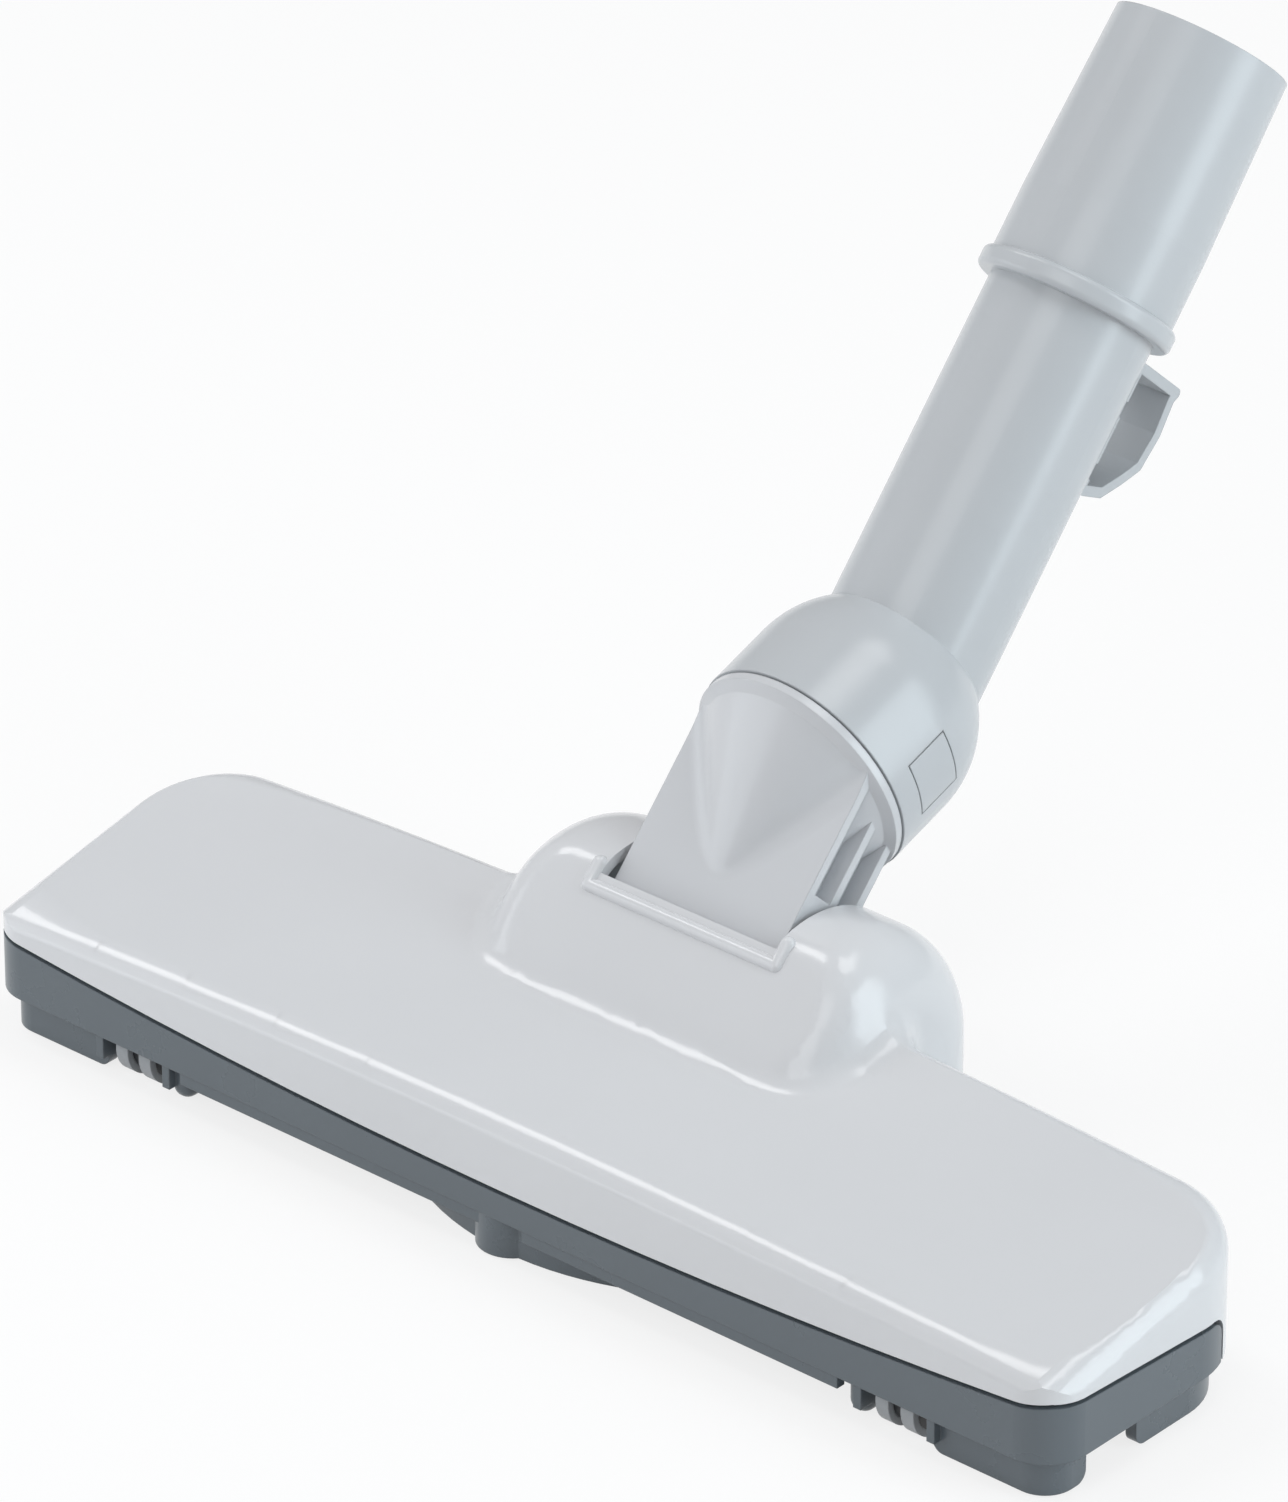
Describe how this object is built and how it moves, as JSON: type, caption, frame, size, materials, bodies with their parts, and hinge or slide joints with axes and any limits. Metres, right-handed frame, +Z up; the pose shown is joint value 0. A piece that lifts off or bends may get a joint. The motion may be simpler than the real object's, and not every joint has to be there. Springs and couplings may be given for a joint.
{
  "type": "vacuum floor brush head",
  "caption": "Wide floor brush head with a crowned pale cover on a dark skirted base, a tilting neck and a swivel pipe ending in a spigot, for drawing dust off floors.",
  "frame": {"origin": "on the floor, under the middle of the overall box", "axes": "+X along the head to its right end as seen from the front, +Y from the front edge to the pipe, +Z up"},
  "size_m": [0.26, 0.2108, 0.186],
  "materials": {
    "cover": "smooth pale grey gloss",
    "base": "slate grey satin",
    "neck": "smooth pale grey",
    "pipe": "smooth pale grey satin",
    "roller": "dark hub",
    "tread": "soft grey",
    "steel": "plain steel",
    "seal": "black ring",
    "rail": "dark strip",
    "bristle": "dark bristle"
  },
  "bodies": {
    "head": {"top_cover": "cover", "base_plate": "base", "pivot_cap_left": "base", "pivot_cap_right": "base", "pivot_screws": "steel", "cover_screws": "steel", "front_axle_left": "steel", "front_axle_right": "steel", "rear_axle_left": "steel", "rear_axle_right": "steel", "brush_rail_front": "rail", "brush_rail_rear_left": "rail", "brush_rail_rear_right": "rail", "bristles_front": "bristle", "bristles_rear_left": "bristle", "bristles_rear_right": "bristle"},
    "neck": {"neck": "neck", "swivel_seal": "seal"},
    "pipe": {"swivel_pipe": "pipe", "lock_tab_left": "pipe", "lock_tab_right": "pipe"},
    "roller_left": {"front_roller_left": "roller", "front_roller_tyres_left": "tread"},
    "roller_right": {"front_roller_right": "roller", "front_roller_tyres_right": "tread"},
    "wheel_left": {"rear_wheel_left": "roller", "rear_tyre_left": "tread"},
    "wheel_right": {"rear_wheel_right": "roller", "rear_tyre_right": "tread"}
  },
  "joints": [
    {"name": "neck_tilt", "type": "hinge", "parent": "head", "child": "neck", "pos_m": [0, -0.0434, 0.0267], "axis": [1, 0, 0], "range_deg": [-40, 0]},
    {"name": "pipe_swivel", "type": "hinge", "parent": "neck", "child": "pipe", "pos_m": [0, -0.02097, 0.06698], "axis": [0, 0.9455, 0.3256], "range_deg": [-90, 90]},
    {"name": "roller_left_spin", "type": "hinge", "parent": "head", "child": "roller_left", "pos_m": [-0.0929, -0.0976, 0.0065], "axis": [1, 0, 0], "continuous": true},
    {"name": "wheel_left_spin", "type": "hinge", "parent": "head", "child": "wheel_left", "pos_m": [-0.031, -0.033, 0.008], "axis": [1, 0, 0], "continuous": true},
    {"name": "roller_right_spin", "type": "hinge", "parent": "head", "child": "roller_right", "pos_m": [0.0929, -0.0976, 0.0065], "axis": [1, 0, 0], "continuous": true},
    {"name": "wheel_right_spin", "type": "hinge", "parent": "head", "child": "wheel_right", "pos_m": [0.031, -0.033, 0.008], "axis": [1, 0, 0], "continuous": true}
  ]
}
